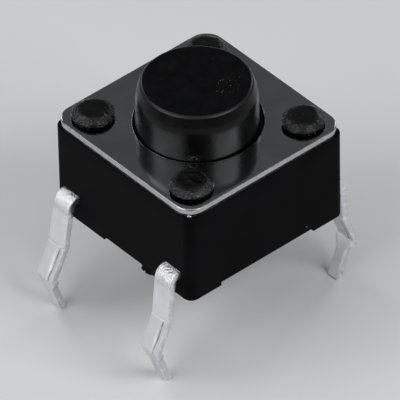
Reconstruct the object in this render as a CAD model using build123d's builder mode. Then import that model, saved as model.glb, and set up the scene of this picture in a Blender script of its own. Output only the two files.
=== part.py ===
from build123d import *
import os

# A through-hole tactile push button switch. Sizes are in millimetres.
# Z = 0 is the board seat, under the four moulded feet, and +Z points out of the button.
# The four legs leave the two X faces and reach below Z = 0, through the board.

# Moulded base
body_size = 6.0
body_corner_r = 0.3
body_top = 3.13
body_edge_chamfer = 0.05
foot_height = 0.15
foot_length_x = 1.2
foot_length_y = 2.15
foot_edge_chamfer = 0.06
well_r = 2.35
well_floor = 0.97

# Heat-staked studs, which are part of the base and hold the plate down
stud_inset = 0.85
stud_r = 0.42
stud_head_r = 0.65
stud_head_rim = 0.13
stud_head_height = 0.30
stud_clearance = 0.04

# Stamped cover plate
plate_thickness = 0.27
plate_corner_r = 0.55
plate_edge_fillet = 0.05
plate_hole_r = 1.93

# Plunger
stem_clearance = 0.12
stem_draft = 0.013
button_rise = 1.55
crown_height = 0.45
crown_draft = 0.152
crown_bend_r = 1.0
button_edge_fillet = 0.13
flange_side_clearance = 0.15
flange_thickness = 0.8
flange_clearance = 0.02
nub_root_r = 0.9
nub_r = 0.5
press_travel = 0.25

# Snap dome
dome_side_clearance = 0.35
dome_thickness = 0.07
dome_spare_rise = 0.02
dome_land = 0.15
dome_clearance = 0.01

# Terminal strips: one carries the centre contact, the other the dome's rim
strip_width = 0.70
strip_thickness = 0.22
leg_pitch = 4.5
contact_rise = 0.08
pad_width = 0.35
pad_overhang = 0.05
outer_arm_inset = 0.15
outer_arm_reach = 0.95
centre_tongue_width = 0.8
centre_contact_r = 0.4

# Legs, as distances from the middle plane and heights of the strip's centre line
shoulder_gap = 0.28
kink_out = 0.12
kink_z = -0.68
knee_out = 0.53
knee_z = -1.68
tip_out = -0.02
tip_z = -3.05
tip_width = 0.40
taper_start = 0.18
taper_length = 0.28
shoulder_bend_r = 0.27
kink_bend_r = 0.14
knee_bend_r = 0.13
# How far each leg is bent outwards at its tip, by the sides it stands on
leg_splay = {(-1, -1): 0.12, (-1, 1): 0.36, (1, -1): 0.0, (1, 1): 0.08}

half_body = body_size / 2
stud_pitch = body_size - 2 * stud_inset
stem_r = plate_hole_r - stem_clearance
crown_r = stem_r - stem_draft
button_top_r = crown_r - crown_draft
flange_r = well_r - flange_side_clearance
dome_r = well_r - dome_side_clearance
pad_outer_r = dome_r + pad_overhang
outer_arm_x = dome_r - outer_arm_inset
plate_top = body_top + plate_thickness
button_top = plate_top + button_rise
strip_middle = well_floor - strip_thickness / 2
contact_top = well_floor + contact_rise
dome_inner_rise = press_travel + dome_spare_rise
dome_top = contact_top + dome_inner_rise + dome_thickness
shoulder_x = half_body + shoulder_gap


def leg_solid(splay):
    """One leg on the +X side, centred on the plane Y = 0, from the body's face to its tip."""

    def bent(out, z):
        return (shoulder_x + out + splay * (strip_middle - z) / (strip_middle - tip_z), z)

    knee = bent(knee_out, knee_z)
    tip = bent(tip_out, tip_z)
    below = (tip[0] + (tip[0] - knee[0]) * 0.2, tip[1] + (tip[1] - knee[1]) * 0.2)
    with BuildPart() as leg:
        with BuildSketch(Plane.XZ):
            with BuildLine():
                FilletPolyline(
                    (half_body, strip_middle),
                    (shoulder_x, strip_middle),
                    bent(kink_out, kink_z),
                    knee,
                    below,
                    radius=[shoulder_bend_r, kink_bend_r, knee_bend_r],
                )
            trace(line_width=strip_thickness)
        extrude(amount=strip_width / 2, both=True)
        with BuildSketch(Plane.YZ):
            with BuildLine():
                Polyline(
                    (strip_width / 2, body_top),
                    (strip_width / 2, knee_z - taper_start),
                    (tip_width / 2, knee_z - taper_start - taper_length),
                    (tip_width / 2, tip_z),
                    (-tip_width / 2, tip_z),
                    (-tip_width / 2, knee_z - taper_start - taper_length),
                    (-strip_width / 2, knee_z - taper_start),
                    (-strip_width / 2, body_top),
                    close=True,
                )
            make_face()
        extrude(amount=body_size, mode=Mode.INTERSECT)
    return leg.part


def strip_legs(side_y):
    """The two legs at the ends of one strip, placed on their sides of the body."""
    legs = []
    for side_x in (-1, 1):
        leg = leg_solid(leg_splay[side_x, side_y])
        if side_x < 0:
            leg = mirror(leg, about=Plane.YZ, mode=Mode.PRIVATE)
        legs.append(leg.moved(Location((0, side_y * leg_pitch / 2, 0))))
    return legs


# Strip that carries the snap dome's rim on a bar and two side arms
arm_length = leg_pitch / 2 + outer_arm_reach
with BuildPart() as outer_terminal:
    with BuildSketch(Plane.XY.offset(well_floor - strip_thickness)) as outer_outline:
        with Locations((0, -leg_pitch / 2)):
            Rectangle(body_size, strip_width)
        for side in (-1, 1):
            with Locations((side * outer_arm_x, -leg_pitch / 2)):
                Rectangle(strip_width, arm_length, align=(Align.CENTER, Align.MIN))
    extrude(amount=strip_thickness)
    with BuildSketch(Plane.XY.offset(well_floor)):
        add(outer_outline.sketch_local)
        Circle(pad_outer_r, mode=Mode.INTERSECT)
        Circle(pad_outer_r - pad_width, mode=Mode.SUBTRACT)
    extrude(amount=contact_rise)
    add(strip_legs(-1))
outer_terminal.part.label = "outer_terminal"

# Strip that carries the centre contact on a tongue
with BuildPart() as centre_terminal:
    with BuildSketch(Plane.XY.offset(well_floor - strip_thickness)):
        with Locations((0, leg_pitch / 2)):
            Rectangle(body_size, strip_width)
        Rectangle(centre_tongue_width, leg_pitch / 2, align=(Align.CENTER, Align.MIN))
        Circle(centre_tongue_width / 2)
    extrude(amount=strip_thickness)
    with BuildSketch(Plane.XY.offset(well_floor)):
        Circle(centre_contact_r)
    extrude(amount=contact_rise)
    add(strip_legs(1))
centre_terminal.part.label = "centre_terminal"

# Crushed head of one stud, on the Z axis, lying on the plate
with BuildPart() as stud_head:
    with BuildSketch(Plane.XZ):
        with BuildLine():
            crown = TangentArc(
                (0, plate_top + stud_head_height),
                (stud_head_r, plate_top + stud_head_rim),
                tangent=(1, 0),
            )
            Polyline(crown @ 1, (stud_head_r, plate_top), (0, plate_top), crown @ 0)
        make_face()
    revolve(axis=Axis.Z)

# Moulded base, cast round the two strips, with its studs staked over the plate
with BuildPart() as base:
    with BuildSketch(Plane.XY):
        RectangleRounded(body_size, body_size, body_corner_r)
    extrude(amount=body_top)
    with BuildSketch(Plane.XY):
        Rectangle(body_size, body_size - 2 * foot_length_y)
        Rectangle(body_size - 2 * foot_length_x, body_size)
    extrude(amount=foot_height, mode=Mode.SUBTRACT)
    chamfer(base.faces().sort_by(Axis.Z)[0:4].edges(), foot_edge_chamfer)
    chamfer(base.faces().sort_by(Axis.Z)[-1].edges(), body_edge_chamfer)
    with BuildSketch(Plane.XY.offset(well_floor)):
        Circle(well_r)
    extrude(amount=body_top, mode=Mode.SUBTRACT)
    with BuildSketch(Plane.XY.offset(body_top)):
        with GridLocations(stud_pitch, stud_pitch, 2, 2):
            Circle(stud_r)
    extrude(amount=plate_thickness)
    with GridLocations(stud_pitch, stud_pitch, 2, 2):
        add(stud_head.part)
    add(outer_terminal.part, mode=Mode.SUBTRACT)
    add(centre_terminal.part, mode=Mode.SUBTRACT)
base.part.label = "base"

# Flat cover plate, with the button's hole and four stud holes
with BuildPart() as cover_plate:
    with BuildSketch(Plane.XY.offset(body_top)):
        RectangleRounded(body_size, body_size, plate_corner_r)
        Circle(plate_hole_r, mode=Mode.SUBTRACT)
        with GridLocations(stud_pitch, stud_pitch, 2, 2):
            Circle(stud_r + stud_clearance, mode=Mode.SUBTRACT)
    extrude(amount=plate_thickness)
    rim = cover_plate.faces().sort_by(Axis.Z)[-1].outer_wire().edges()
    fillet(rim, plate_edge_fillet)
cover_plate.part.label = "cover_plate"

# Plunger: stem with a tapered crown, a flange that the plate holds in, and a nub over the dome
flange_top = body_top - flange_clearance
with BuildPart() as plunger:
    with BuildSketch(Plane.XZ):
        with BuildLine():
            Polyline(
                (0, dome_top + dome_clearance),
                (nub_r, dome_top + dome_clearance),
                (nub_root_r, flange_top - flange_thickness),
                (flange_r, flange_top - flange_thickness),
                (flange_r, flange_top),
                (stem_r, flange_top),
                (stem_r, plate_top),
                (crown_r, button_top - crown_height),
                (button_top_r, button_top),
                (0, button_top),
                close=True,
            )
        make_face()
    revolve(axis=Axis.Z)
    rims = plunger.edges().filter_by(GeomType.CIRCLE).group_by(Axis.Z)
    fillet(rims[-2], crown_bend_r)
    fillet(plunger.edges().group_by(Axis.Z)[-1], button_edge_fillet)
plunger.part.label = "plunger"

# Snap dome, resting on the outer terminal's raised pads
with BuildPart() as snap_dome:
    with BuildSketch(Plane.XZ):
        with BuildLine():
            outside = TangentArc((0, dome_top), (dome_r, contact_top + dome_thickness), tangent=(1, 0))
            inside = TangentArc(
                (0, dome_top - dome_thickness),
                (dome_r - dome_land, contact_top),
                tangent=(1, 0),
            )
            Polyline(outside @ 1, (dome_r, contact_top), inside @ 1)
            Line(inside @ 0, outside @ 0)
        make_face()
    revolve(axis=Axis.Z)
snap_dome.part.label = "snap_dome"

os.makedirs("parts", exist_ok=True)
for piece in (base, cover_plate, plunger, snap_dome, outer_terminal, centre_terminal):
    export_step(piece.part, f"parts/{piece.part.label}.step")
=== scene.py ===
"""Finish, smooth meshes, studio and camera of a through-hole tactile push button switch.

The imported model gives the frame: Z = 0 is the board seat and +Z points out of the button.
"""

from math import atan2, cos, pi, radians, sin, tan

import bmesh
import bpy
from bpy.props import FloatProperty, FloatVectorProperty, IntProperty, PointerProperty
from bpy.types import Operator, Panel, PropertyGroup
from mathutils import Matrix, Vector, noise


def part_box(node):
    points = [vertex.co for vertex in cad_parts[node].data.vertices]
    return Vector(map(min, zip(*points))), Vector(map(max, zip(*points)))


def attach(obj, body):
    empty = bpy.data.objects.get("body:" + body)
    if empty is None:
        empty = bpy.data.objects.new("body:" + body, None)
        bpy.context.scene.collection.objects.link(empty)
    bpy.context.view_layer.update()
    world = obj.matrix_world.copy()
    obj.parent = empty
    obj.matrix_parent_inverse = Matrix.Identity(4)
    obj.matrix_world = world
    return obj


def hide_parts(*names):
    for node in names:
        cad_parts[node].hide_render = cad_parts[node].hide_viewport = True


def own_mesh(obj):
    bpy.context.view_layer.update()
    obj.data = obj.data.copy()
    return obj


bl_info = {
    "name": "Tactile Push Button Switch",
    "version": (1, 0, 0),
    "blender": (4, 5, 0),
    "location": "3D View > Sidebar > Switch",
    "description": "Builds the finished pieces of a small square push button switch",
    "category": "Object",
}

MM = 0.001
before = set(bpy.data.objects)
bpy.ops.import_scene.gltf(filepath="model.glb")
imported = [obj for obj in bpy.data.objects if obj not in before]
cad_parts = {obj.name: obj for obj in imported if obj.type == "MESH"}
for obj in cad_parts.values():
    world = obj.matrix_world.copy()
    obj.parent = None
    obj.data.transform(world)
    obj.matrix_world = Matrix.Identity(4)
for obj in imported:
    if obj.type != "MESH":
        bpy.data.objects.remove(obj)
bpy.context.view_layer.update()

BASE_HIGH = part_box("base")[1]
PLATE_LOW, PLATE_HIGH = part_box("cover_plate")
PLUNGER_LOW, PLUNGER_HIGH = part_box("plunger")
DOME_LOW, DOME_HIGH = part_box("snap_dome")
STRIP_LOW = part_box("outer_terminal")[0]


def number(name, description, default, **more):
    """A plain number."""
    return FloatProperty(name=name, description=description, default=default, **more)


def length(name, description, millimetres):
    """A size, given in millimetres and kept in metres."""
    return number(name, description, millimetres * MM, unit="LENGTH", precision=6)


def angle(name, description, degrees):
    """An angle, given in degrees and kept in radians."""
    return number(name, description, radians(degrees), subtype="ANGLE")


def colour(name, description, default):
    """A linear colour without alpha."""
    return FloatVectorProperty(
        name=name, description=description, default=default, subtype="COLOR", min=0, max=1
    )


class HousingSizes(PropertyGroup):
    corner: length("Corner radius", "Radius of the base's upright corners", 0.30)
    edge: length("Edge radius", "Rounding of the base's moulded edges", 0.05)
    foot_height: length("Foot height", "How far the feet stand out", 0.15)
    foot_x: length("Foot length X", "Length of a foot along X", 1.20)
    foot_y: length("Foot length Y", "Length of a foot along Y", 2.15)
    well_radius: length("Well radius", "Radius of the round well", 2.35)
    well_floor: length("Well floor", "Height of the well's floor", 0.97)


class StudSizes(PropertyGroup):
    inset: length("Inset", "Distance of a stud's axis from the sides", 0.85)
    shank: length("Shank radius", "Radius of a stud in its plate hole", 0.42)
    head: length("Head radius", "Radius of a crushed head", 0.655)
    height: length("Head height", "Height of a head over the plate", 0.305)
    crush: length("Crush depth", "Unevenness of the crushed plastic", 0.028)
    undercut: length("Undercut", "Gap under a head's lip", 0.098)
    flat: number("Flat", "Share of a head that is flat", 0.42)
    drift: length("Drift", "How far a stud may stand from its place", 0.03)
    seed: IntProperty(name="Seed", description="Sets how the heads differ", default=7)


class PlateSizes(PropertyGroup):
    corner: length("Corner radius", "Radius of the plate's corners", 0.55)
    hole: length("Hole radius", "Radius of the button's hole", 1.93)
    edge: length("Edge radius", "Die roll on the upper edges", 0.020)
    corner_roll: number("Corner roll", "How much wider the die roll is at the corners", 1.6)
    burr: length("Burr", "Height of the sheared burr under the edge", 0.018)
    stud_gap: length("Stud clearance", "Gap round a stud's shank", 0.04)


class ButtonSizes(PropertyGroup):
    foot: length("Foot radius", "Radius of the stem where it leaves the plate", 1.815)
    crown: length("Crown radius", "Radius where the side turns inwards", 1.797)
    crown_height: length("Crown height", "Height of the tapered part", 0.45)
    crown_bend: length("Crown bend", "Radius of the turn into the taper", 1.0)
    top: length("Top radius", "Radius that the taper gives at the top", 1.645)
    edge: length("Edge radius", "Rounding of the top edge", 0.13)
    lean: FloatVectorProperty(
        name="Lean",
        description="How far the button rests to one side of its hole, along X and Y",
        size=2,
        default=(-0.070 * MM, -0.038 * MM),
        unit="LENGTH",
        precision=6,
    )
    flange: length("Flange thickness", "Thickness of the hidden flange", 0.80)
    nub_root: length("Nub root radius", "Radius of the nub at the flange", 0.90)
    nub: length("Nub radius", "Radius of the nub at the dome", 0.50)


class StripSizes(PropertyGroup):
    width: length("Strip width", "Width of a terminal strip", 0.70)
    thickness: length("Strip thickness", "Thickness of the sheet", 0.22)
    pitch: length("Leg pitch", "Distance between the strips", 4.50)
    shoulder: length("Shoulder", "Distance of the shoulder from the middle", 3.28)
    kink: length("Kink", "How far out the kink starts from the shoulder", 0.12)
    kink_z: length("Kink height", "Height where the kink starts", -0.68)
    knee: length("Knee", "How far out the knee stands from the shoulder", 0.53)
    knee_z: length("Knee height", "Height of the knee", -1.68)
    tip: length("Tip", "How far out the tip stands from the shoulder", -0.02)
    tip_width: length("Tip width", "Width of the narrowed tip", 0.40)
    taper: length("Taper start", "How far below the knee the strip narrows", 0.18)
    taper_length: length("Taper length", "Length of the narrowing", 0.28)
    shoulder_bend: length("Shoulder bend", "Radius of the shoulder's middle line", 0.27)
    kink_bend: length("Kink bend", "Radius where the kink starts", 0.14)
    knee_bend: length("Knee bend", "Radius of the knee", 0.13)
    groove: length("Groove", "Depth of the die's groove along the kink", 0.045)
    strike: length("Strike", "How far the struck kink is sunk", 0.010)
    tear: length("Tear", "Unevenness of the sheared sides", 0.009)
    seed: IntProperty(name="Seed", description="Sets how the sides are torn", default=3)
    contact_rise: length("Contact rise", "How far the contacts stand up", 0.08)


class Finishes(PropertyGroup):
    plastic: colour("Plastic", "Black of the moulded base", (0.0025, 0.0025, 0.0030))
    button: colour("Button", "Black of the button", (0.0014, 0.0014, 0.0017))
    steel: colour("Steel", "Rolled steel of the cover plate", (0.46, 0.47, 0.48))
    tin: colour("Tin", "Bright tin plating of the legs", (0.86, 0.872, 0.885))
    spring: colour("Spring", "Stainless spring sheet of the dome", (0.60, 0.60, 0.58))
    floor: colour("Floor", "Pale floor of the stage", (0.585, 0.590, 0.600))


class Studio(PropertyGroup):
    azimuth: angle("Azimuth", "Camera's turn about Z", -40.45)
    elevation: angle("Elevation", "Camera's angle over the horizon", 40.52)
    roll: angle("Roll", "Camera's tilt about its own axis", -1.15)
    distance: length("Distance", "Camera's distance from its aim", 238.0)
    aim: length("Aim height", "Height on the Z axis that the camera looks at", 0.35)
    lens: number("Lens", "Focal length in millimetres", 730.9, unit="CAMERA")


# ---------------------------------------------------------------- mesh helpers

SMALLEST = 0.000001 * MM  # a radius below this counts as a pole


def finished(piece, material, body, slot, *nodes):
    """Gives a piece its material and body, and hides the CAD nodes that it stands for. The slot is
    not used.
    """
    piece.data.materials.clear()
    piece.data.materials.append(material)
    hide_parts(*nodes)
    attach(piece, body)


def applied(piece):
    """Replaces a piece's mesh by the result of its modifiers, and removes them."""
    graph = bpy.context.evaluated_depsgraph_get()
    mesh = bpy.data.meshes.new_from_object(piece.evaluated_get(graph))
    piece.modifiers.clear()
    piece.data = mesh


def shaded(piece, degrees=40):
    """Smooth shading, with edges sharper than an angle kept hard."""
    piece.data.shade_smooth()
    piece.data.set_sharp_from_angle(angle=radians(degrees))
    weighted = piece.modifiers.new("even_normals", "WEIGHTED_NORMAL")
    weighted.keep_sharp = True


def linked(name, data):
    """A new object in the scene for a mesh, a light or a camera."""
    made = bpy.data.objects.new(name, data)
    bpy.context.scene.collection.objects.link(made)
    return made


def object_from(mesh_data, name):
    """A plain object from a bmesh, which is freed."""
    mesh = bpy.data.meshes.new(name)
    mesh_data.to_mesh(mesh)
    mesh_data.free()
    return linked(name, mesh)


def combine(target, tools, operation):
    """Joins tools to a target, or cuts them out of it, and deletes the tools."""
    for tool in tools:
        step = target.modifiers.new("combine", "BOOLEAN")
        step.operation = operation
        step.solver = "EXACT"
        step.object = tool
    applied(target)
    for tool in tools:
        bpy.data.objects.remove(tool)


def skin(rings, looped=False):
    """A closed bmesh through rings of points with equal counts. A ring of one point is a pole.

    The first and last rings are capped, or joined to each other where the skin is looped.
    """
    made = bmesh.new()
    loops = [[made.verts.new(point) for point in ring] for ring in rings]
    for lower, upper in zip(loops, loops[1:] + (loops[:1] if looped else [])):
        count = max(len(lower), len(upper))
        for i in range(count):
            steps = zip((lower, lower, upper, upper), (i, i + 1, i + 1, i))
            square = [ring[step % count % len(ring)] for ring, step in steps]
            made.faces.new([v for k, v in enumerate(square) if v not in square[:k]])
    for end in () if looped else (loops[0][::-1], loops[-1]):
        if len(end) > 1:
            made.faces.new(end)
    bmesh.ops.recalc_face_normals(made, faces=made.faces)
    return made


def turned(profile, centre=(0, 0), segments=192):
    """A closed solid of revolution about a vertical axis. Radius 0 in the profile is a pole."""
    x, y = centre
    angles = [2 * pi * i / segments for i in range(segments)]
    rings = []
    for radius, z in profile:
        if radius < SMALLEST:
            rings.append([(x, y, z)])
        else:
            rings.append([(x + radius * cos(a), y + radius * sin(a), z) for a in angles])
    return skin(rings)


def quarter_round(steps):
    """Points along a rounded edge of radius 1, as distances from the two faces that it joins."""
    for i in range(steps + 1):
        a = pi / 2 * i / steps
        yield 1 - sin(a), 1 - cos(a)


def corner_arc(before, corner, after, radius, steps):
    """Points of the arc that rounds a corner between two straight runs."""
    incoming = (Vector(before) - Vector(corner)).normalized()
    outgoing = (Vector(after) - Vector(corner)).normalized()
    opening = incoming.angle(outgoing)
    reach = radius / tan(opening / 2)
    middle = (incoming + outgoing).normalized()
    centre = Vector(corner) + middle * (radius / sin(opening / 2))
    first = Vector(corner) + incoming * reach - centre
    last = Vector(corner) + outgoing * reach - centre
    swing = first.angle(last)
    points = []
    for i in range(steps + 1):
        a = swing * i / steps
        arm = first * (sin(swing - a) / sin(swing)) + last * (sin(a) / sin(swing))
        points.append(centre + arm)
    return points


def rounded_path(points, radii, steps=12):
    """A path through 2D points whose inner corners are rounded."""
    path = [Vector(points[0])]
    for i, radius in enumerate(radii, start=1):
        path += corner_arc(points[i - 1], points[i], points[i + 1], radius, steps)
    path.append(Vector(points[-1]))
    return path


def spaced(path, step):
    """The same path with points about one step apart, and every corner kept."""
    dense = [path[0]]
    for a, b in zip(path, path[1:]):
        parts = max(1, round((b - a).length / step))
        dense += [a.lerp(b, (i + 1) / parts) for i in range(parts)]
    return dense


def square_ring(half, radius, z, per_corner=16, per_side=24):
    """Points of a rounded square, anticlockwise, with even spacing along each side."""
    inner = half - radius
    centre = Vector((inner, inner, 0))
    turns = [pi / 2 * i / per_corner for i in range(per_corner)]
    side = [centre + Vector((radius * cos(a), radius * sin(a), 0)) for a in turns]
    start, end = Vector((inner, half, 0)), Vector((-inner, half, 0))
    side += [start.lerp(end, i / per_side) for i in range(per_side)]
    ring = []
    for quarter in range(4):
        rotation = Matrix.Rotation(quarter * pi / 2, 3, "Z")
        ring += [rotation @ p + Vector((0, 0, z)) for p in side]
    return ring


def slab(outline, low, high):
    """A closed solid from a 2D outline between two heights."""
    return skin([[(x, y, z) for x, y in outline] for z in (low, high)])


def block(low, high):
    """Outline of a rectangle from its two corners."""
    return [(low[0], low[1]), (high[0], low[1]), (high[0], high[1]), (low[0], high[1])]


def rough(point, waves, amount):
    """Repeatable unevenness at a point, with so many waves per millimetre."""
    return noise.noise(Vector(point) * (waves / MM)) * amount


def lump(centre, stretch, turn=0.0):
    """An uneven little lump, for a burr or a bit of flash."""
    made = bmesh.new()
    bmesh.ops.create_icosphere(made, subdivisions=3, radius=1.0)
    for vertex in made.verts:
        vertex.co = Vector(a * b for a, b in zip(vertex.co, stretch))
        vertex.co *= 1 + rough(vertex.co + Vector(centre), waves=14.0, amount=0.5)
    made.transform(Matrix.Translation(centre) @ Matrix.Rotation(turn, 4, "Z"))
    return object_from(made, "lump")


# ---------------------------------------------------------------- node helpers


class Nodes:
    """A node tree under construction."""

    def __init__(self, tree):
        self.tree = tree
        tree.nodes.clear()

    def feed(self, node, feeds):
        """Links a node's inputs, or sets them where the value is a plain one."""
        for key, value in feeds.items():
            if isinstance(value, bpy.types.NodeSocket):
                self.tree.links.new(value, node.inputs[key])
            else:
                node.inputs[key].default_value = value

    def add(self, kind, feeds=None, out=0, **settings):
        """Adds a node, feeds its inputs, and gives one of its outputs if it has any."""
        node = self.tree.nodes.new(kind)
        for key, value in settings.items():
            setattr(node, key, value)
        self.feed(node, feeds or {})
        return node.outputs[out] if node.outputs else None

    def maths(self, operation, a, b=0.0):
        return self.add("ShaderNodeMath", {0: a, 1: b}, operation=operation)

    def less(self, a, b):
        return self.maths("SUBTRACT", a, b)

    def times(self, *values):
        """The product of two or more values."""
        product = values[0]
        for value in values[1:]:
            product = self.maths("MULTIPLY", product, value)
        return product

    def span(self, value, low, high, to_low=0.0, to_high=1.0, kind="LINEAR"):
        """Maps a range of a value to another range, clamped."""
        feeds = dict(enumerate((value, low, high, to_low, to_high)))
        return self.add("ShaderNodeMapRange", feeds, interpolation_type=kind)

    def axes(self, vector):
        """The three parts of a vector."""
        return self.add("ShaderNodeSeparateXYZ", {0: vector}).node.outputs

    def blend(self, share, a, b):
        """Mixes two colours, given as triples or sockets."""
        a, b = ((*c, 1) if isinstance(c, tuple) else c for c in (a, b))
        return self.add("ShaderNodeMix", {0: share, 6: a, 7: b}, 2, data_type="RGBA")


class Finish(Nodes):
    """A material under construction. Textures read object coordinates in millimetres."""

    def __init__(self, name):
        self.material = bpy.data.materials.new(name)
        self.material.use_nodes = True
        super().__init__(self.material.node_tree)
        self.shader = self.add("ShaderNodeBsdfPrincipled")
        self.add("ShaderNodeOutputMaterial", {"Surface": self.shader})
        self.coordinates = self.add("ShaderNodeTexCoord", out="Object")
        self.place = self.stretched((1, 1, 1))

    def set(self, **values):
        """Sets or links inputs of the shader, by names with underscores."""
        feeds = {name.replace("_", " "): value for name, value in values.items()}
        self.feed(self.shader.node, feeds)

    def stretched(self, scale, centre=(0, 0, 0)):
        """Coordinates in millimetres, scaled along each axis, from a centre in metres."""
        feeds = {"Vector": self.coordinates, "Scale": [s / MM for s in scale]}
        feeds["Location"] = [-c * s / MM for c, s in zip(centre, scale)]
        return self.add("ShaderNodeMapping", feeds)

    def distance(self, scale, centre=(0, 0, 0)):
        """Distance in millimetres from a centre in metres, with each axis scaled."""
        feeds = {0: self.stretched(scale, centre)}
        return self.add("ShaderNodeVectorMath", feeds, "Value", operation="LENGTH")

    def noise(self, scale, detail=3.0, place=None, roughness=0.5):
        feeds = {"Vector": place or self.place, "Scale": scale}
        feeds |= {"Detail": detail, "Roughness": roughness}
        return self.add("ShaderNodeTexNoise", feeds, "Fac")

    def cells(self, scale, feature="F1"):
        feeds = {"Vector": self.place, "Scale": scale}
        return self.add("ShaderNodeTexVoronoi", feeds, "Distance", feature=feature)

    def level(self, share, a, b):
        """Mixes two numbers."""
        return self.add("ShaderNodeMix", {0: share, 2: a, 3: b}, data_type="FLOAT")

    def tones(self, share, colour, low, high):
        """One colour that goes from a darker to a lighter shade, given as factors."""
        return self.blend(share, shade(colour, low), shade(colour, high))

    def bump(self, height, depth, strength=1.0, under=None):
        """Bump of a depth in metres, laid over another bump where one is given."""
        feeds = {"Strength": strength, "Distance": depth, "Height": height}
        if under is not None:
            feeds["Normal"] = under
        return self.add("ShaderNodeBump", feeds)

    def facing(self, axis):
        """How much the surface faces along an axis, from 0 to 1, in the object's own axes."""
        normal = self.add("ShaderNodeTexCoord", out="Normal")
        return self.maths("ABSOLUTE", self.axes(normal)[axis])

    def specks(self, scale, size, rarity):
        """Sparse round specks, with random cells left empty. rarity is the share left out."""
        reach = self.cells(scale)
        near = self.span(reach, size * 0.5, size, 1.0, 0.0)
        random = self.add("ShaderNodeSeparateColor", {0: reach.node.outputs["Color"]})
        return self.times(near, self.maths("GREATER_THAN", random, rarity))


class Growth(Nodes):
    """A Geometry Nodes tree under construction, with named inputs for its sizes."""

    SEED_SPREAD = 3.1  # how far one seed's waves are from the next seed's

    def __init__(self, name, **inputs):
        super().__init__(bpy.data.node_groups.new(name, "GeometryNodeTree"))
        face = self.tree.interface
        face.new_socket("Geometry", in_out="INPUT", socket_type="NodeSocketGeometry")
        self.values = {}
        kinds = {int: "NodeSocketInt", float: "NodeSocketFloat"}
        for label, value in inputs.items():
            kind = kinds.get(type(value), "NodeSocketObject")
            socket = face.new_socket(label.replace("_", " "), in_out="INPUT", socket_type=kind)
            self.values[socket.identifier] = value
        face.new_socket("Geometry", in_out="OUTPUT", socket_type="NodeSocketGeometry")
        self.start = self.tree.nodes.new("NodeGroupInput").outputs

    def waves(self, scale, seed, out="Fac"):
        """Noise for a scale in waves per millimetre, with a seed."""
        feeds = {"Vector": self.add("GeometryNodeInputPosition"), "Scale": scale / MM}
        feeds |= {"W": self.times(seed, self.SEED_SPREAD), "Detail": 2.0}
        return self.add("ShaderNodeTexNoise", feeds, out, noise_dimensions="4D")

    def random(self, feeds):
        """A random vector for each point."""
        feeds = feeds | {"Seed": self.start["Seed"]}
        return self.add("FunctionNodeRandomValue", feeds, data_type="FLOAT_VECTOR")

    def moved(self, geometry, vector, factor):
        """Geometry moved by a vector times a factor."""
        feeds = {0: vector, "Scale": factor}
        offset = self.add("ShaderNodeVectorMath", feeds, operation="SCALE")
        return self.add("GeometryNodeSetPosition", {"Geometry": geometry, "Offset": offset})

    def grow(self, piece, geometry, material):
        """Ends the tree, runs it on a piece, and leaves the result as a plain mesh."""
        real = self.add("GeometryNodeRealizeInstances", {0: geometry})
        smooth = self.add("GeometryNodeSetShadeSmooth", {"Geometry": real})
        paint = self.add("GeometryNodeSetMaterial", {"Geometry": smooth, "Material": material})
        self.add("NodeGroupOutput", {0: paint})
        modifier = piece.modifiers.new("growth", "NODES")
        modifier.node_group = self.tree
        for identifier, value in self.values.items():
            modifier[identifier] = value
        applied(piece)
        made = bmesh.new()
        made.from_mesh(piece.data)
        bmesh.ops.recalc_face_normals(made, faces=made.faces)
        made.to_mesh(piece.data)
        made.free()


def shade(colour, factor):
    """A colour as a plain triple, darker or lighter by a factor."""
    return tuple(min(1.0, c * factor) for c in colour)


# ----------------------------------------------------------------------- base

# Bits of flash on the base's lower left edge, in millimetres: place along Y, height and reach.
FLASH = ((-0.80, 0.10, 0.040), (-0.93, 0.02, 0.062), (-1.08, 0.00, 0.055), (-1.20, 0.01, 0.040))


def moulded_plastic(finishes):
    """Black moulded plastic: spark-eroded grain, cloudy gloss and a few dust specks."""
    finish = Finish("housing_plastic")
    cloud = finish.noise(1.1, 4)
    grain = finish.noise(26, 3)
    pits = finish.cells(15, "SMOOTH_F1")
    tone = finish.tones(finish.span(cloud, 0.35, 0.65), finishes.plastic, 0.7, 1.5)
    finish.set(
        Base_Color=finish.blend(finish.specks(2.6, 0.085, 0.93), tone, (0.16, 0.16, 0.15)),
        Roughness=finish.span(cloud, 0.3, 0.7, 0.45, 0.57),
        Specular_IOR_Level=0.5,
        IOR=1.10,
    )
    depth = 0.0022 * MM
    surface = finish.bump(pits, depth, 0.5)
    finish.set(Normal=finish.bump(grain, depth, 0.8, surface))
    return finish.material


def relief_outline(sizes, half):
    """Outline of the cross-shaped relief under the base, which leaves four corner feet."""
    reach = half + MM
    x, y = half - sizes.foot_x, half - sizes.foot_y
    quarter = [(reach, -y), (reach, y), (x, y), (x, reach), (-x, reach), (-x, y)]
    return quarter + [(-px, -py) for px, py in quarter]


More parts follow.
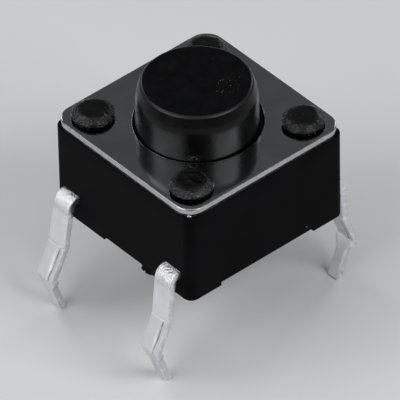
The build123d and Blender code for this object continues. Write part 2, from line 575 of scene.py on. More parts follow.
class SWITCH_OT_base(Operator):
    """Moulded base with its well, relieved underside and four feet"""

    bl_idname = "tact_switch.base"
    bl_label = "Moulded Base"

    def execute(self, context):
        sizes = context.scene.switch_housing
        half, top, edge = BASE_HIGH.x, PLATE_LOW.z, sizes.edge
        levels = [(inset * edge, rise * edge) for inset, rise in quarter_round(5)]
        levels += [(0, edge + (top - 2 * edge) * share) for share in (0.2, 0.4, 0.6, 0.8)]
        levels += [(inset * edge, top - drop * edge) for drop, inset in quarter_round(5)]
        rings = [square_ring(half - inset, sizes.corner - inset, z) for inset, z in levels]
        body = object_from(skin(rings), "moulded_base")
        relief = slab(relief_outline(sizes, half), -MM, sizes.foot_height)
        radius, floor, over = sizes.well_radius, sizes.well_floor, top + edge
        well = turned([(0, floor), (radius, floor), (radius, over), (0, over)])
        cuts = [object_from(relief, "relief"), object_from(well, "well")]
        combine(body, cuts, "DIFFERENCE")
        flash = []
        for y, z, reach in FLASH:
            centre = (-half + 0.02 * MM, y * MM, z * MM)
            flash.append(lump(centre, (reach * MM, 1.6 * reach * MM, reach * MM)))
        bevel = body.modifiers.new("eased_edges", "BEVEL")
        bevel.width = 0.022 * MM
        bevel.segments = 2
        bevel.limit_method = "ANGLE"
        bevel.angle_limit = radians(50)
        applied(body)
        combine(body, flash, "UNION")
        shaded(body)
        finish = moulded_plastic(context.scene.switch_finishes)
        finished(body, finish, "housing", "housing", "base")
        return {"FINISHED"}


# ---------------------------------------------------------------- stud heads

# Waves of the crushed plastic: how many per millimetre, and their share of the crush depth.
CRUSH_WAVES = ((1.5, 3.2), (5.5, 1.4), (11.0, 0.5))
CRUSH_RISE = 0.12 * MM  # height over the plate where the crush reaches its full depth


def head_profile(sizes, low, seat):
    """Profile of a staked stud: shank, undercut lip, and a crown that falls away to the lip."""
    lip, lift, neck = 0.050 * MM, sizes.undercut, sizes.shank + 0.04 * MM
    lip_steps, crown_steps, steepness = 7, 28, 2.5
    profile = [(0, low), (sizes.shank, low), (sizes.shank, seat + 0.2 * lift)]
    profile.append((neck, seat + 0.55 * lift))
    for i in range(lip_steps + 1):
        a = -pi / 2 + 0.8 * pi / 2 * i / lip_steps
        profile.append((sizes.head - lip + lip * cos(a), seat + lift + lip + lip * sin(a)))
    outer, rim = profile[-1][0], profile[-1][1] + 0.02 * MM
    top = seat + sizes.height
    flat = sizes.flat * sizes.head
    for i in range(1, crown_steps + 1):
        radius = outer * (1 - i / crown_steps)
        fall = max(0.0, (radius - flat) / (outer - flat)) ** steepness
        profile.append((radius, top - (top - rim) * fall))
    return profile


def stud_tree(head, sizes, pitch):
    """Geometry Nodes that stand a head on each corner of a square, each crushed its own way."""
    growth = Growth(
        "staked_studs",
        Head=head,
        Pitch=pitch,
        Crush=sizes.crush,
        Seat=PLATE_HIGH.z,
        Drift=sizes.drift,
        Seed=sizes.seed,
    )
    start = growth.start
    feeds = {"Size X": start["Pitch"], "Size Y": start["Pitch"], "Vertices X": 2, "Vertices Y": 2}
    grid = growth.add("GeometryNodeMeshGrid", feeds)
    drift = growth.random({0: (-1, -1, 0), 1: (1, 1, 0)})
    corners = growth.moved(grid, drift, start["Drift"])
    source = growth.add("GeometryNodeObjectInfo", {"Object": start["Head"]}, "Geometry")
    turn = growth.random({1: (0, 0, 2 * pi)})
    feeds = {"Points": corners, "Instance": source, "Rotation": turn}
    heads = growth.add("GeometryNodeInstanceOnPoints", feeds)
    heads = growth.add("GeometryNodeRealizeInstances", {0: heads})
    height = growth.axes(growth.add("GeometryNodeInputPosition"))["Z"]
    over = growth.maths("ADD", start["Seat"], CRUSH_RISE)
    amount = growth.times(growth.span(height, start["Seat"], over), start["Crush"])
    for scale, share in CRUSH_WAVES:
        feeds = {0: growth.waves(scale, start["Seed"], "Color"), 1: (0.5, 0.5, 0.5)}
        centred = growth.add("ShaderNodeVectorMath", feeds, operation="SUBTRACT")
        heads = growth.moved(heads, centred, growth.times(amount, share))
    return growth, heads


def crushed_plastic(finishes):
    """Heat-staked plastic: smooth and dark on top, with a crumbled slope round it whose pale specks
    are painted highlights.
    """
    finish = Finish("staked_plastic")
    smear = finish.noise(3.0, 4)
    crumble = finish.noise(21, 3, roughness=0.65)
    slope = finish.span(finish.facing("Z"), 0.97, 0.90)
    patchy = finish.times(slope, finish.span(smear, 0.42, 0.56, 0.15, 1.0))
    # painted highlights: the crumbled slope is painted with pale specks that stand in for glints of
    # light
    pale = finish.times(finish.span(crumble, 0.50, 0.60), patchy)
    finish.set(
        Base_Color=finish.tones(pale, finishes.plastic, 0.3, 18.0),
        Roughness=finish.level(patchy, finish.span(smear, 0.3, 0.7, 0.20, 0.30), 0.15),
        Specular_IOR_Level=0.36,
    )
    surface = finish.bump(smear, 0.010 * MM, 0.5)
    torn = finish.times(crumble, finish.span(patchy, 0.0, 1.0, 0.04, 1.0))
    finish.set(Normal=finish.bump(torn, 0.050 * MM, 1.0, surface))
    return finish.material


class SWITCH_OT_studs(Operator):
    """Four staked studs, whose crushed heads hold the cover plate"""

    bl_idname = "tact_switch.studs"
    bl_label = "Staked Studs"

    def execute(self, context):
        sizes = context.scene.switch_studs
        finish = crushed_plastic(context.scene.switch_finishes)
        profile = head_profile(sizes, PLATE_LOW.z, PLATE_HIGH.z)
        head = object_from(turned(profile, segments=96), "stud_source")
        piece = linked("staked_studs", bpy.data.meshes.new("staked_studs"))
        growth, heads = stud_tree(head, sizes, 2 * (PLATE_HIGH.x - sizes.inset))
        growth.grow(piece, heads, finish)
        bpy.data.objects.remove(head)
        finished(piece, finish, "housing", "housing", "base")
        return {"FINISHED"}


# --------------------------------------------------------------- cover plate

PLATE_SPACING = (20, 40)  # points of an outline on each corner and each side


def burr_centre(sizes):
    """Middle of the burr that hangs under the plate's front corner."""
    corner = PLATE_HIGH.x - sizes.corner * (1 - cos(pi / 4)) - 0.010 * MM
    return (-corner, -corner, PLATE_LOW.z + 0.012 * MM)


def rolled_steel(finishes, plate):
    """Bright rolled steel with fine rolling lines, and sheared sides that end in a torn band, which
    is painted near black as shade of the gap under the plate; the wall of the button's hole is
    painted the same dark as shade of the gap round the button.
    """
    finish, steel = Finish("rolled_steel"), finishes.steel
    rolling = finish.noise(1.0, 3, finish.stretched((0.6, 38, 1)))
    hairlines = finish.noise(1.0, 2, finish.stretched((2.0, 95, 1)))
    smudge = finish.noise(0.9, 4)
    shear = finish.noise(1.0, 3, finish.stretched((9, 9, 2.2)), 0.6)
    torn_grain = finish.noise(14, 4, roughness=0.7)
    flat = finish.span(finish.facing("Z"), 0.70, 0.93)
    side = finish.less(1.0, flat)
    cut_line = (PLATE_HIGH.z - 0.165 * MM) / MM
    below_cut = finish.span(finish.axes(finish.place)["Z"], cut_line, cut_line - 0.02)
    in_hole = finish.span(finish.distance((1, 1, 0)), 2.02, 1.98)
    off_burr = finish.span(finish.distance((1, 1, 1), burr_centre(plate)), 0.08, 0.11)
    # painted shade: the torn band low on the sheared side and the wall of the button's hole are
    # painted near black; the band is also the side's rough fracture zone
    torn = finish.times(finish.maths("MAXIMUM", below_cut, in_hole), side, off_burr)
    tone = finish.tones(finish.span(smudge, 0.35, 0.7), steel, 0.9, 1.08)
    tone = finish.blend(finish.specks(3.4, 0.075, 0.88), tone, shade(steel, 0.35))
    cut_tone = finish.tones(finish.span(shear, 0.35, 0.65), steel, 0.88, 1.12)
    torn_band_and_shade_tone = finish.tones(finish.span(torn_grain, 0.5, 0.72), steel, 0.03, 0.40)
    cut_gloss = finish.span(shear, 0.3, 0.7, 0.16, 0.27)
    gloss = finish.level(flat, cut_gloss, finish.span(smudge, 0.3, 0.75, 0.075, 0.12))
    finish.set(
        Base_Color=finish.blend(torn, finish.blend(flat, cut_tone, tone), torn_band_and_shade_tone),
        Metallic=1.0,
        Roughness=finish.level(torn, gloss, 0.55),
    )
    lines = finish.bump(rolling, 0.0009 * MM, 0.35)
    lines = finish.bump(hairlines, 0.0005 * MM, 0.3, lines)
    lines = finish.bump(finish.times(shear, side), 0.004 * MM, 0.5, lines)
    finish.set(Normal=finish.bump(finish.times(torn_grain, torn), 0.020 * MM, 0.8, lines))
    return finish.material


def plate_side(sizes, inset, drop, wobble=0.0):
    """Points round the plate's side, set in and dropped from its top, lower where it wobbles.

    On the die roll, both grow towards the corners.
    """
    half, high, corner_reach = PLATE_HIGH.x, PLATE_HIGH.z, 0.75 * MM
    ring = square_ring(half, sizes.corner, high, *PLATE_SPACING)
    inner = square_ring(half - MM, sizes.corner - MM, high, *PLATE_SPACING)
    points = []
    for p, q in zip(ring, inner):
        bend = max(0.0, 1 - abs(abs(p.x) - abs(p.y)) / corner_reach)
        roll = 1 + sizes.corner_roll * bend if drop < 2 * sizes.edge else 1
        fall = drop * roll + wobble / 2 - rough((p.x, p.y, 0), waves=5.0, amount=wobble)
        points.append(p + (q - p) * (inset * roll / MM) - Vector((0, 0, fall)))
    return points


def plate_hole(sizes, radius, z):
    """Points round the button's hole, each in line with one on the plate's side."""
    ring = []
    for p in square_ring(PLATE_HIGH.x, sizes.corner, z, *PLATE_SPACING):
        a = atan2(p.y, p.x)
        ring.append(Vector((radius * cos(a), radius * sin(a), z)))
    return ring


def plate_rings(sizes):
    """The plate's section as rings: up the hole, over the top, and down the sheared side."""
    low, high, edge, steps = PLATE_LOW.z, PLATE_HIGH.z, sizes.edge, 6
    lip = 0.8 * edge
    rings = [plate_hole(sizes, sizes.hole, low)]
    for out, drop in reversed(list(quarter_round(steps))):
        rings.append(plate_hole(sizes, sizes.hole + lip * out, high - lip * drop))
    roll = [plate_side(sizes, edge * i, edge * drop) for i, drop in quarter_round(steps)]
    inner_top = rings[-1]
    for i in range(1, 10):
        rings.append([p.lerp(q, i / 10) for p, q in zip(inner_top, roll[0])])
    cut, deep, ragged = 0.16 * MM, high - low, 0.02 * MM
    rings += roll
    rings += [plate_side(sizes, 0, edge + (cut - edge) * share) for share in (0.35, 0.7)]
    for inset, drop, wobble in (
        (0.002 * MM, cut, ragged),
        (0.026 * MM, cut + ragged, ragged),
        (0.036 * MM, deep - 0.04 * MM, 0.012 * MM),
        (0.024 * MM, deep - sizes.burr * 0.3, sizes.burr),
        (0.050 * MM, deep, 0.0),
    ):
        rings.append(plate_side(sizes, inset, drop, wobble))
    return rings


class SWITCH_OT_plate(Operator):
    """Stamped cover plate, with the button's hole, stud holes, die roll and burr"""

    bl_idname = "tact_switch.plate"
    bl_label = "Cover Plate"

    def execute(self, context):
        sizes = context.scene.switch_plate
        studs = context.scene.switch_studs
        plate = object_from(skin(plate_rings(sizes), looped=True), "cover_plate_steel")
        pitch, radius = PLATE_HIGH.x - studs.inset, studs.shank + sizes.stud_gap
        low, high = PLATE_LOW.z - MM, PLATE_HIGH.z + MM
        drills = []
        for x in (-pitch, pitch):
            for y in (-pitch, pitch):
                drill = turned([(0, low), (radius, low), (radius, high), (0, high)], (x, y), 48)
                drills.append(object_from(drill, "drill"))
        combine(plate, drills, "DIFFERENCE")
        burr = lump(burr_centre(sizes), (0.072 * MM, 0.052 * MM, 0.050 * MM), -pi / 4)
        combine(plate, [burr], "UNION")
        shaded(plate)
        finish = rolled_steel(context.scene.switch_finishes, sizes)
        finished(plate, finish, "housing", "cover", "cover_plate")
        return {"FINISHED"}


# -------------------------------------------------------------------- button

DUST_PATCH = (0.385 * MM, -0.734 * MM, 0)  # middle of the dust on the button's top
SCUFF_TURN = radians(-44)
SCUFF_RISE = 0.14 * MM


def scuff_place(sizes):
    """Middle of the scuff low on the button's front."""
    x, y = sin(SCUFF_TURN) * sizes.foot, -cos(SCUFF_TURN) * sizes.foot
    return Vector((x, y, PLATE_HIGH.z + SCUFF_RISE))


def button_plastic(finishes, sizes):
    """Satin black button: soft mottle, a painted highlight round its rounded top edge, a scuff, and
    dust on its flat top.
    """
    finish = Finish("button_plastic")
    mottle = finish.noise(2.4, 5, roughness=0.6)
    grain = finish.noise(24, 3)
    orange_peel = finish.noise(6.5, 2)
    facing = finish.facing("Z")
    top = finish.span(facing, 0.8, 0.98)
    patch = finish.span(finish.distance((1.6, 1.6, 0), DUST_PATCH), 0.35, 0.75, 1.0, 0.0)
    crumbs = finish.times(finish.specks(15, 0.30, 0.62), patch)
    dust = finish.maths("MAXIMUM", crumbs, finish.specks(3.0, 0.06, 0.80))
    ragged = finish.span(finish.noise(28, 2), 0.40, 0.58)
    dust = finish.times(dust, ragged, top)
    middle = scuff_place(sizes) + Vector((*sizes.lean, 0))
    near_scuff = finish.span(finish.distance((0.8, 0.8, 1.5), middle), 0.06, 0.20, 1.0, 0.0)
    scraped = finish.times(near_scuff, finish.span(finish.noise(17, 3), 0.50, 0.60))
    dust = finish.maths("MAXIMUM", dust, finish.times(scraped, 0.35))
    # painted highlight: a band on the rounded top edge is painted lighter all round
    rim = finish.times(finish.span(facing, 0.38, 0.6), finish.span(facing, 0.985, 0.88))
    tone = finish.tones(finish.span(mottle, 0.35, 0.7), finishes.button, 0.55, 1.7)
    tone = finish.blend(rim, tone, shade(finishes.button, 11.0))
    side_gloss = finish.span(mottle, 0.3, 0.7, 0.25, 0.34)
    top_gloss = finish.span(mottle, 0.3, 0.7, 0.17, 0.25)
    finish.set(
        Base_Color=finish.blend(dust, tone, (0.16, 0.16, 0.155)),
        Roughness=finish.level(top, side_gloss, top_gloss),
        Specular_IOR_Level=0.18,
    )
    surface = finish.bump(orange_peel, 0.0045 * MM, 0.5)
    finish.set(Normal=finish.bump(grain, 0.0018 * MM, 0.7, surface))
    return finish.material


class SWITCH_OT_button(Operator):
    """Round button with its drafted stem, hidden flange and nub"""

    bl_idname = "tact_switch.button"
    bl_label = "Button"

    def execute(self, context):
        sizes = context.scene.switch_button
        low, high = PLUNGER_LOW.z, PLUNGER_HIGH.z
        seat = PLATE_HIGH.z
        flange_radius = PLUNGER_HIGH.x
        flange_gap, scuff_reach = 0.02 * MM, 0.22 * MM
        flange_top = PLATE_LOW.z - flange_gap
        flange_low = flange_top - sizes.flange
        outline = [(0, low), (sizes.nub, low), (sizes.nub_root, flange_low)]
        outline += [(flange_radius, flange_low), (flange_radius, flange_top)]
        outline += [(sizes.foot, flange_top), (sizes.foot, seat)]
        path = [Vector(p) for p in outline]
        crown, shoulder = (sizes.crown, high - sizes.crown_height), (sizes.top, high)
        path += corner_arc((sizes.foot, seat), crown, shoulder, sizes.crown_bend, 10)
        path += corner_arc(crown, shoulder, (0, high), sizes.edge, 14)
        flat = path[-1].x
        path += [Vector((flat * share, high)) for share in (0.85, 0.6, 0.3, 0.0)]
        made = turned([(p.x, p.y) for p in spaced(path, step=0.07 * MM)], segments=240)
        scuff = scuff_place(sizes)
        for vertex in made.verts:
            near = max(0.0, 1 - (vertex.co - scuff).length / scuff_reach)
            bulge = rough(vertex.co, waves=11.0, amount=0.055 * MM) * near
            vertex.co += Vector((vertex.co.x, vertex.co.y, 0)).normalized() * bulge
            if vertex.co.z > flange_top + flange_gap / 2:
                vertex.co += Vector((*sizes.lean, 0))
        piece = object_from(made, "round_button")
        shaded(piece, 30)
        finish = button_plastic(context.scene.switch_finishes, sizes)
        finished(piece, finish, "button", "button", "plunger")
        return {"FINISHED"}


# ----------------------------------------------------------------- snap dome


def spring_steel(finishes):
    """Thin stainless spring sheet, a little cloudy."""
    finish = Finish("spring_steel")
    cloud = finish.noise(3.0, 3)
    finish.set(
        Base_Color=finish.tones(finish.span(cloud, 0.3, 0.7), finishes.spring, 0.85, 1.05),
        Metallic=1.0,
        Roughness=finish.span(cloud, 0.3, 0.7, 0.2, 0.3),
    )
    return finish.material


class SWITCH_OT_dome(Operator):
    """Sprung metal dome under the button"""

    bl_idname = "tact_switch.dome"
    bl_label = "Snap Dome"

    def execute(self, context):
        radius, low, high = DOME_HIGH.x, DOME_LOW.z, DOME_HIGH.z
        sheet, steps = 0.07 * MM, 20
        rise = high - low - sheet
        bend = (radius**2 + rise**2) / (2 * rise)
        spokes = [radius * (1 - i / steps) for i in range(steps + 1)]
        outside = [(r, high - bend + (bend**2 - r**2) ** 0.5) for r in spokes]
        inside = [(r, z - sheet) for r, z in reversed(outside)]
        piece = object_from(turned(inside + outside, segments=96), "sprung_dome")
        shaded(piece)
        applied(piece)
        finish = spring_steel(context.scene.switch_finishes)
        finished(piece, finish, "housing", "spring_metal", "snap_dome")
        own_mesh(piece)
        return {"FINISHED"}


# ----------------------------------------------------------------- terminals

# How far each leg's tip is bent outwards, by the sides in X and Y that it stands on.
LEG_SPLAY = {(-1, -1): 0.12 * MM, (-1, 1): 0.36 * MM, (1, -1): 0.0, (1, 1): 0.08 * MM}
# The die's groove along a kink, as shares of half the strip's width.
GROOVE_MIDDLE = -0.48
GROOVE_REACH = 0.22


def tinned_strip(finishes, sizes):
    """Bright tin on stamped strip: die marks, matt struck kinks, creased bends painted a little
    lighter as a highlight, torn sides, and a die groove painted dark as shade, with painted
    highlights beside it and along the struck ledge.
    """
    finish, tin = Finish("tinned_strip"), finishes.tin
    mottle = finish.noise(3.0, 4, roughness=0.6)
    die_lines = finish.noise(1.0, 3, finish.stretched((1.2, 20, 1.2)))
    torn = finish.noise(1.0, 4, finish.stretched((7, 7, 5)), 0.65)
    creases = finish.noise(12, 4, roughness=0.6)
    side = finish.span(finish.facing("Y"), 0.5, 0.85)
    face = finish.less(1.0, side)
    place = finish.axes(finish.place)
    height, across = place["Z"], place["Y"]
    kink, knee = sizes.kink_z / MM, sizes.knee_z / MM
    below_kink = finish.span(height, kink + 0.03, kink - 0.01)
    struck = finish.times(below_kink, finish.span(height, knee - 0.06, knee - 0.02))
    bend = finish.times(finish.span(height, 0.35, 0.6), face)
    groove = GROOVE_MIDDLE * sizes.width / 2 / MM
    rut, groove_edge_highlight = 0.0, 0.0
    for row in (-sizes.pitch / 2 / MM, sizes.pitch / 2 / MM):
        off = finish.less(across, row + groove)
        near = finish.span(finish.maths("ABSOLUTE", off), 0.036, 0.010)
        rut = finish.maths("MAXIMUM", rut, near)
        beside = finish.maths("ABSOLUTE", finish.less(off, 0.075))
        groove_edge_highlight = finish.maths("MAXIMUM", groove_edge_highlight, finish.span(beside, 0.035, 0.01))
    groove_paint_patches = finish.times(finish.span(mottle, 0.40, 0.56, 0.25, 1.0), face, struck)
    rut, groove_edge_highlight = finish.times(rut, groove_paint_patches), finish.times(groove_edge_highlight, groove_paint_patches)
    ledge = finish.maths("ABSOLUTE", finish.less(height, kink - 0.01))
    ledge = finish.times(finish.span(ledge, 0.04, 0.01), face)
    tone = finish.tones(finish.span(mottle, 0.3, 0.7), tin, 0.92, 1.05)
    # painted highlight: the shoulder bends and the strip above them are painted lighter than the
    # rest of the face
    tone = finish.blend(bend, tone, shade(tin, 1.06))
    tone = finish.blend(struck, tone, shade(tin, 0.98))
    # painted shade: the die's groove is painted dark
    tone = finish.blend(rut, tone, shade(tin, 0.30))
    # painted highlights: white lines beside the groove and along the struck ledge at the kink
    tone = finish.blend(finish.maths("MAXIMUM", groove_edge_highlight, ledge), tone, (1.0, 1.0, 1.0))
    rip_tone = finish.tones(finish.span(torn, 0.50, 0.62), tin, 0.84, 1.08)
    gloss = finish.level(bend, finish.span(mottle, 0.3, 0.7, 0.13, 0.22), 0.22)
    gloss = finish.level(struck, gloss, finish.span(mottle, 0.3, 0.7, 0.46, 0.56))
    finish.set(
        Base_Color=finish.blend(side, tone, rip_tone),
        Metallic=1.0,
        Roughness=finish.level(side, gloss, finish.span(torn, 0.3, 0.7, 0.34, 0.24)),
    )
    surface = finish.bump(die_lines, 0.003 * MM, 0.4)
    surface = finish.bump(finish.times(creases, bend), 0.060 * MM, 1.0, surface)
    finish.set(Normal=finish.bump(finish.times(torn, side), 0.003 * MM, 0.5, surface))
    return finish.material


def strip_line(sizes, side_y, floor):
    """The strip's centre line in X and Z, from one tip through the body to the other tip."""
    middle, tip_z = floor - sizes.thickness / 2, STRIP_LOW.z

    def leg(side_x):
        splay = LEG_SPLAY[side_x, side_y]

        def bent(out, z):
            share = (middle - z) / (middle - tip_z)
            return (side_x * (sizes.shoulder + out + splay * share), z)

        corners = [bent(sizes.kink, sizes.kink_z), bent(sizes.knee, sizes.knee_z)]
        return [(side_x * sizes.shoulder, middle), *corners, bent(sizes.tip, tip_z)]

    radii = [sizes.shoulder_bend, sizes.kink_bend, sizes.knee_bend]
    return rounded_path(leg(-1)[::-1] + leg(1), radii[::-1] + radii)


def strip_section(width, thickness, edge):
    """The strip's section as (across, out) pairs, with eased edges and points for a groove."""
    shares = (0.36, 0.30, 0.24, 0.18, 0.12, 0.0, -0.12, -0.18, -0.24, -0.30, -0.36)
    outline = []
    for side, up, start in ((1, -1, -pi / 2), (1, 1, 0), (-1, 1, pi / 2), (-1, -1, pi)):
        for i in range(5):
            a = start + pi / 2 * i / 4
            across = side * (width / 2 - edge) + edge * cos(a)
            outline.append((across, up * (thickness / 2 - edge) + edge * sin(a)))
        if up * side > 0:
            outline += [(side * share * width, up * thickness / 2) for share in shares]
    return outline


def strip_tree(profile, sizes, row):
    """Geometry Nodes that sweep a section along a strip's line, narrow its tips, and mark it."""
    growth = Growth(
        "terminal_strip",
        Profile=profile,
        Row=row,
        Half_Width=sizes.width / 2,
        Tip_Share=sizes.tip_width / sizes.width,
        Taper_Start=sizes.knee_z - sizes.taper,
        Taper_Length=sizes.taper_length,
        Lowest=STRIP_LOW.z,
        Kink=sizes.kink_z,
        Knee=sizes.knee_z,
        Strike=sizes.strike,
        Groove=sizes.groove,
        Tear=sizes.tear,
        Seed=sizes.seed,
    )
    start = growth.start
    path = growth.add("GeometryNodeMeshToCurve", {0: start["Geometry"]})
    section = growth.add("GeometryNodeObjectInfo", {"Object": start["Profile"]}, "Geometry")
    section = growth.add("GeometryNodeMeshToCurve", {0: section})
    feeds = {"Curve": path, "Profile Curve": section, "Fill Caps": True}
    strip = growth.add("GeometryNodeCurveToMesh", feeds)

    x, y, z = growth.axes(growth.add("GeometryNodeInputPosition"))
    taper_end = growth.less(start["Taper Start"], start["Taper Length"])
    share = growth.span(z, start["Taper Start"], taper_end, 1.0, start["Tip Share"], "SMOOTHSTEP")
    edge = growth.maths("ABSOLUTE", growth.maths("DIVIDE", y, start["Half Width"]))
    near_side = growth.maths("POWER", edge, 6.0)
    wave = growth.less(growth.waves(2.6, start["Seed"]), 0.5)
    tear = growth.times(wave, near_side, start["Tear"])
    across = growth.maths("ADD", growth.maths("ADD", growth.times(y, share), start["Row"]), tear)
    feeds = {0: x, 1: across, 2: growth.maths("MAXIMUM", z, start["Lowest"])}
    placed = growth.add("ShaderNodeCombineXYZ", feeds)
    strip = growth.add("GeometryNodeSetPosition", {"Geometry": strip, "Position": placed})

    ledge, rest, fade = 0.04 * MM, 0.10 * MM, 0.40 * MM
    normal = growth.add("GeometryNodeInputNormal")
    out = growth.times(growth.axes(normal)["X"], growth.maths("SIGN", x))
    below = growth.span(z, start["Kink"], growth.less(start["Kink"], ledge))
    low = growth.maths("ADD", start["Knee"], rest)
    above = growth.span(z, low, growth.maths("ADD", low, fade), kind="SMOOTHSTEP")
    zone = growth.times(below, above, growth.span(out, 0.3, 0.6))
    middle = growth.times(start["Half Width"], GROOVE_MIDDLE)
    off = growth.maths("ABSOLUTE", growth.less(growth.less(y, start["Row"]), middle))
    rut = growth.span(off, growth.times(start["Half Width"], GROOVE_REACH), 0.0)
    depth = growth.maths("ADD", growth.times(rut, start["Groove"]), start["Strike"])
    return growth, growth.moved(strip, normal, growth.times(depth, zone, -1.0))


def polyline(points, name, closed=False):
    """An object of edges only, through points."""
    mesh = bpy.data.meshes.new(name)
    edges = [(i, i + 1) for i in range(len(points) - 1)]
    mesh.from_pydata(points, edges + [(len(points) - 1, 0)] * closed, [])
    return linked(name, mesh)


def swept_strip(name, sizes, side_y, floor, finish):
    """One terminal strip swept along its centre line, with slightly torn side edges."""
    line = spaced(strip_line(sizes, side_y, floor), step=0.045 * MM)
    piece = polyline([(p.x, 0, p.y) for p in line], name)
    section = strip_section(sizes.width, sizes.thickness, edge=0.028 * MM)
    profile = polyline([(across, out, 0) for across, out in section], "strip_section", closed=True)
    growth, strip = strip_tree(profile, sizes, side_y * sizes.pitch / 2)
    growth.grow(piece, strip, finish)
    bpy.data.objects.remove(profile)
    return piece


def ring_sector(inner, outer, middle, half_angle):
    """Outline of a part of a flat ring about the Z axis."""
    steps = 12
    angles = [middle + half_angle * (2 * i / steps - 1) for i in range(steps + 1)]
    outline = [(outer * cos(a), outer * sin(a)) for a in angles]
    return outline + [(inner * cos(a), inner * sin(a)) for a in reversed(angles)]


class SWITCH_OT_terminals(Operator):
    """Two stamped terminal strips with their kinked legs, arms and raised contacts"""

    bl_idname = "tact_switch.terminals"
    bl_label = "Terminal Strips"

    def execute(self, context):
        sizes = context.scene.switch_strips
        finish = tinned_strip(context.scene.switch_finishes, sizes)
        floor = context.scene.switch_housing.well_floor
        contact = floor + sizes.contact_rise
        sunk = floor - 0.02 * MM  # a contact reaches this far into its strip
        skim = 0.001 * MM  # keeps an arm's faces off the strip's faces
        half, row = sizes.width / 2, sizes.pitch / 2
        pad_outer = DOME_HIGH.x + 0.05 * MM
        pad_inner = pad_outer - 0.35 * MM
        arm_x, arm_end = DOME_HIGH.x - 0.15 * MM, 0.95 * MM
        contact_radius = 0.4 * MM

        def arm(start, end):
            sheet = slab(block(start, end), floor - sizes.thickness + skim, floor - skim)
            return object_from(sheet, "arm")

        def pad(middle, degrees):
            outline = ring_sector(pad_inner, pad_outer, middle, radians(degrees))
            return object_from(slab(outline, sunk, contact), "pad")

        outer = swept_strip("outer_terminal_strip", sizes, -1, floor, finish)
        parts = []
        for x, middle in ((-arm_x, pi), (arm_x, 0)):
            parts += [arm((x - half, -row), (x + half, arm_end)), pad(middle, 24)]
        combine(outer, [*parts, pad(-pi / 2, 20)], "UNION")
        centre = swept_strip("centre_terminal_strip", sizes, 1, floor, finish)
        tongue = arm((-contact_radius, -contact_radius), (contact_radius, row))
        profile = [(0, sunk), (contact_radius, sunk), (contact_radius, contact), (0, contact)]
        button = object_from(turned(profile, segments=48), "contact")
        combine(centre, [tongue, button], "UNION")
        for piece, node in ((outer, "outer_terminal"), (centre, "centre_terminal")):
            shaded(piece)
            finished(piece, finish, "housing", "contact_metal", node)
        return {"FINISHED"}


# --------------------------------------------------------------------- stage

FLOOR_RADIUS = 48 * MM
LIGHT_DISTANCE = 110 * MM
# Each light's turn from the camera and height in degrees, width and height in millimetres,
# and radiance.
SOFTBOXES = {
    "left_softbox": (-58, 41, 92, 64, 3.8),
    "right_softbox": (54, 41, 72, 48, 6.0),
    "high_left_softbox": (-118, 60, 56, 36, 2.3),
    "back_left_softbox": (-146, 27, 22, 52, 3.2),
    "back_right_softbox": (146, 27, 22, 52, 3.0),
}
# How bright the surroundings are, by the Z part of the direction that they are seen in.
SURROUNDINGS = ((-0.02, 0.08), (0.10, 0.09), (0.30, 0.14), (0.48, 0.12), (0.78, 0.10), (0.88, 0.34))
SEEN_SURROUNDINGS = (0.68, 0.685, 0.69)  # what the camera itself sees past the floor


def direction(azimuth, elevation):
    """Unit vector from the switch towards a camera or a light."""
    a, e = azimuth, elevation
    return Vector((sin(a) * cos(e), -cos(a) * cos(e), sin(e)))


def add_camera(context, studio):
    """The camera, turned, raised and rolled as the studio says."""
    back = direction(studio.azimuth, studio.elevation)
    right = Vector((0, 0, 1)).cross(back).normalized()
    up = back.cross(right)
    turn = Matrix.Rotation(studio.roll, 3, back)
    data = bpy.data.cameras.new("studio_camera")
    data.lens = studio.lens
    data.sensor_width = 36.0
    data.clip_start = studio.distance * 0.5
    data.clip_end = studio.distance * 8
    camera = linked("studio_camera", data)
    axes = Matrix((turn @ right, turn @ up, back)).transposed().to_4x4()
    place = Vector((0, 0, studio.aim)) + back * studio.distance
    camera.matrix_world = Matrix.Translation(place) @ axes
    context.scene.camera = camera


def add_softbox(name, azimuth, elevation, size, radiance):
    """A rectangular softbox that faces the switch, of a given brightness."""
    data = bpy.data.lights.new(name, "AREA")
    data.shape = "RECTANGLE"
    data.size, data.size_y = size
    data.energy = radiance * pi * size[0] * size[1]
    light = linked(name, data)
    back = direction(azimuth, elevation)
    light.location = back * LIGHT_DISTANCE
    light.rotation_mode = "QUATERNION"
    light.rotation_quaternion = back.to_track_quat("Z", "Y")


def add_world(context):
    """Studio surroundings: dim to the sides and overhead, but pale where the camera sees them."""
    world = bpy.data.worlds.new("studio_world")
    world.use_nodes = True
    nodes = Nodes(world.node_tree)
    height = nodes.axes(nodes.add("ShaderNodeTexCoord", out="Generated"))["Z"]
    ramp = nodes.add("ShaderNodeValToRGB", {0: nodes.span(height, -1.0, 1.0)})
    stops = ramp.node.color_ramp.elements
    stops[0].position, stops[0].color = 0.0, (0.10, 0.10, 0.11, 1)
    stops[1].position, stops[1].color = 1.0, (0.80, 0.80, 0.80, 1)
    for up, level in SURROUNDINGS:
        stop = stops.new((up + 1) / 2)
        stop.color = (level, level * 1.03, level * 1.07, 1)
    seen = nodes.add("ShaderNodeLightPath", out="Is Camera Ray")
    shown = nodes.blend(seen, ramp, SEEN_SURROUNDINGS)
    background = nodes.add("ShaderNodeBackground", {"Color": shown, "Strength": 1.0})
    nodes.add("ShaderNodeOutputWorld", {"Surface": background})
    context.scene.world = world


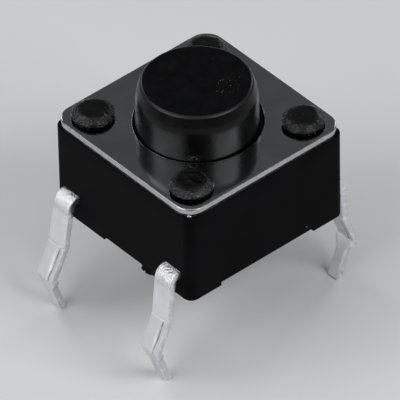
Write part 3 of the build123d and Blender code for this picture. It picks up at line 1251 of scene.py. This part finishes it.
class SWITCH_OT_stage(Operator):
    """Pale floor, soft studio light and the camera"""

    bl_idname = "tact_switch.stage"
    bl_label = "Stage"

    def execute(self, context):
        studio = context.scene.switch_studio
        ground = STRIP_LOW.z
        turns = [radians(a) for a in range(0, 360, 3)]
        disc = [(FLOOR_RADIUS * cos(a), FLOOR_RADIUS * sin(a)) for a in turns]
        floor = object_from(slab(disc, ground - MM, ground), "floor")
        finish = Finish("pale_floor")
        haze = finish.span(finish.noise(0.02, 2), 0.3, 0.7)
        pale = finish.tones(haze, context.scene.switch_finishes.floor, 0.985, 1.015)
        finish.set(Base_Color=pale, Roughness=0.75)
        floor.data.materials.append(finish.material)
        add_camera(context, studio)
        for name, (offset, height, width, tall, radiance) in SOFTBOXES.items():
            azimuth = studio.azimuth + radians(offset)
            add_softbox(name, azimuth, radians(height), (width * MM, tall * MM), radiance)
        add_world(context)
        context.scene.view_settings.view_transform = "Standard"
        return {"FINISHED"}


class SWITCH_PT_pieces(Panel):
    """Lists the operators that build the switch, and its sizes"""

    bl_label = "Push Button Switch"
    bl_idname = "SWITCH_PT_pieces"
    bl_space_type = "VIEW_3D"
    bl_region_type = "UI"
    bl_category = "Switch"

    def draw(self, context):
        for operator in OPERATORS:
            self.layout.operator(operator.bl_idname)
        for group in GROUPS:
            column = self.layout.column(align=True)
            for name in GROUPS[group].__annotations__:
                column.prop(getattr(context.scene, group), name)


OPERATORS = (
    SWITCH_OT_base,
    SWITCH_OT_studs,
    SWITCH_OT_plate,
    SWITCH_OT_button,
    SWITCH_OT_dome,
    SWITCH_OT_terminals,
    SWITCH_OT_stage,
)
GROUPS = {
    "switch_housing": HousingSizes,
    "switch_studs": StudSizes,
    "switch_plate": PlateSizes,
    "switch_button": ButtonSizes,
    "switch_strips": StripSizes,
    "switch_finishes": Finishes,
    "switch_studio": Studio,
}


def register():
    for cls in (*GROUPS.values(), *OPERATORS, SWITCH_PT_pieces):
        bpy.utils.register_class(cls)
    for name, group in GROUPS.items():
        setattr(bpy.types.Scene, name, PointerProperty(type=group))


def unregister():
    for name in GROUPS:
        delattr(bpy.types.Scene, name)
    for cls in reversed((*GROUPS.values(), *OPERATORS, SWITCH_PT_pieces)):
        bpy.utils.unregister_class(cls)


def main():
    register()
    for operator in OPERATORS:
        family, name = operator.bl_idname.split(".")
        if getattr(getattr(bpy.ops, family), name)() != {"FINISHED"}:
            raise RuntimeError(f"{operator.bl_label} did not finish")


if __name__ == "__main__":
    main()
